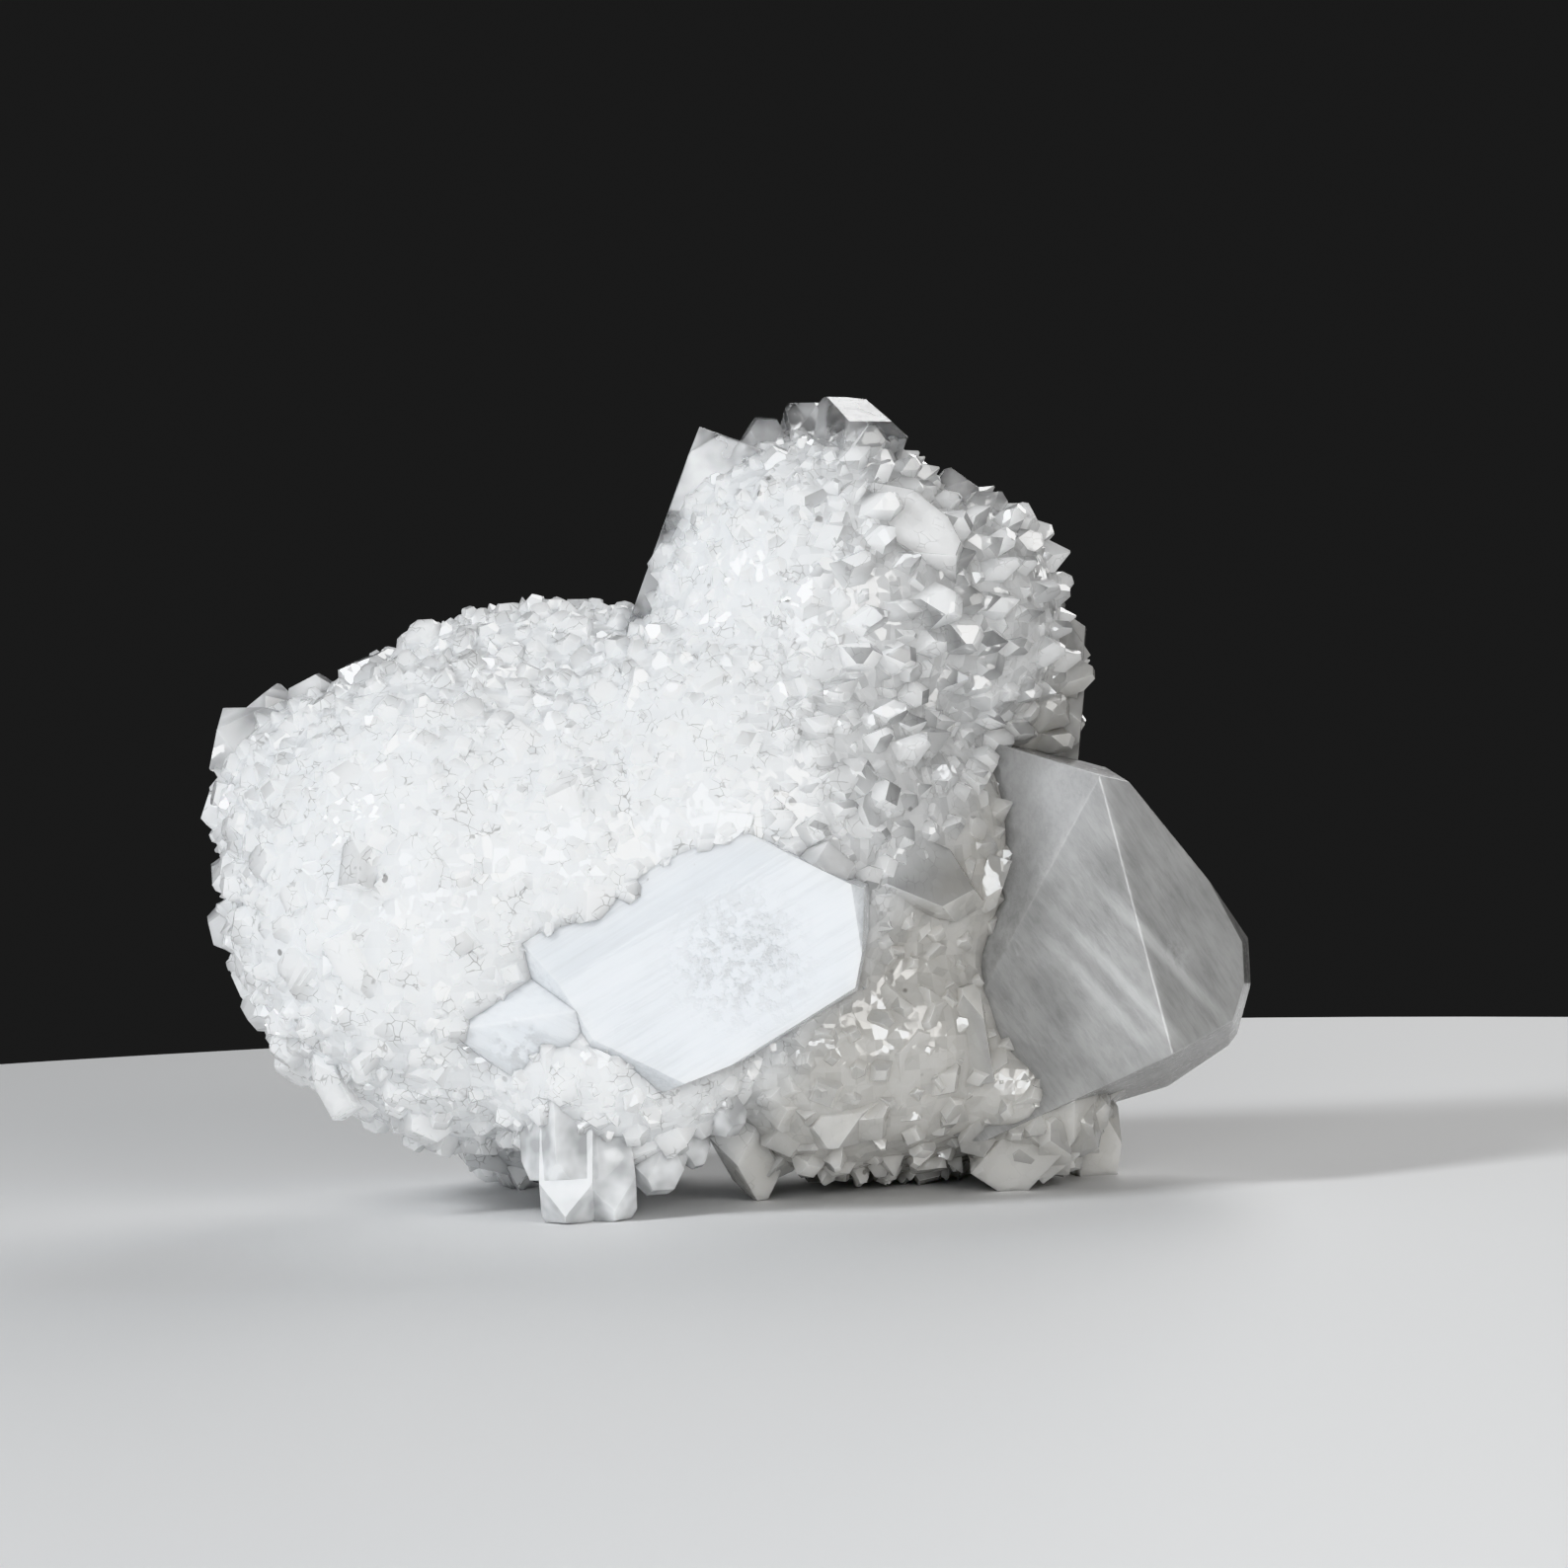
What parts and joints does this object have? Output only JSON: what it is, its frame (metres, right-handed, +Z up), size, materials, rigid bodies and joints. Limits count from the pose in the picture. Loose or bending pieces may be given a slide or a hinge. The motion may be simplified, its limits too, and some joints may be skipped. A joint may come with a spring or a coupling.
{
  "type": "apophyllite crystal specimen",
  "caption": "Cluster of intergrown apophyllite: a crust of small glassy crystals over a lumpy mass, with a broad blade in front and a large block crystal at one end.",
  "frame": {"origin": "middle of the specimen's box, on the plane that its lowest crystal tips stand on", "axes": "+X along the long side, towards the large block crystal; -Y towards the broad front blade; +Z up"},
  "size_m": [0.0682, 0.042, 0.0518],
  "materials": {
    "crystal": "gloss"
  },
  "bodies": {
    "root": {"apophyllite": "crystal"}
  },
  "joints": []
}
